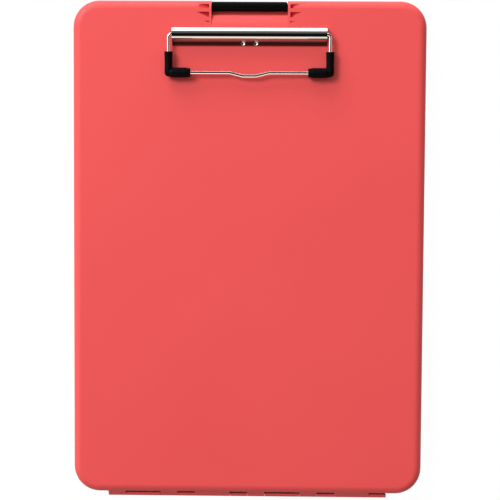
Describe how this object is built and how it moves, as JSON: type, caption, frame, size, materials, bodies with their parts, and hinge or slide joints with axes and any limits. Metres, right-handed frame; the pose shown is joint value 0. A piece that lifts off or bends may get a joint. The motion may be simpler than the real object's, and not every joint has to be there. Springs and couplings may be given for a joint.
{
  "type": "storage clipboard box",
  "caption": "Shallow plastic document case whose hinged lid is a writing board with a sprung wire clip, shut by a latch at the head.",
  "frame": {"origin": "middle of the case's outline, on its flat back", "axes": "+X to the right of the page, +Y up the page towards the latch, +Z out of the writing board"},
  "size_m": [0.241, 0.3426, 0.0256],
  "materials": {
    "tray_plastic": "matte moulded, fine grain",
    "lid_plastic": "matte moulded, fine grain",
    "latch_plastic": "matte moulded black",
    "grip_rubber": "matte black vinyl",
    "spine_chrome": "bright nickel plated",
    "wire_chrome": "bright nickel plated",
    "rod_steel": "drawn wire",
    "rivet_steel": "plated"
  },
  "bodies": {
    "tray": {"base_tray": "tray_plastic", "hinge_rod": "rod_steel"},
    "lid": {"lid_board": "lid_plastic", "clip_spine": "spine_chrome", "left_rivet": "rivet_steel", "right_rivet": "rivet_steel", "left_rivet_washer": "rivet_steel", "right_rivet_washer": "rivet_steel"},
    "latch": {"latch_flap": "latch_plastic"},
    "bail": {"bail_wire": "wire_chrome", "left_grip": "grip_rubber", "right_grip": "grip_rubber"}
  },
  "joints": [
    {"name": "lid_hinge", "type": "hinge", "parent": "tray", "child": "lid", "pos_m": [0, -0.1707, 0.011], "axis": [1, 0, 0], "range_deg": [0, 175]},
    {"name": "latch_hinge", "type": "hinge", "parent": "lid", "child": "latch", "pos_m": [0, 0.1655, 0.0147], "axis": [1, 0, 0], "range_deg": [0, 100]},
    {"name": "bail_hinge", "type": "hinge", "parent": "lid", "child": "bail", "pos_m": [0, 0.14603, 0.02319], "axis": [-1, 0, 0], "range_deg": [0, 90], "stiffness_Nm_per_rad": 0.1, "springref_deg": -20.05}
  ]
}
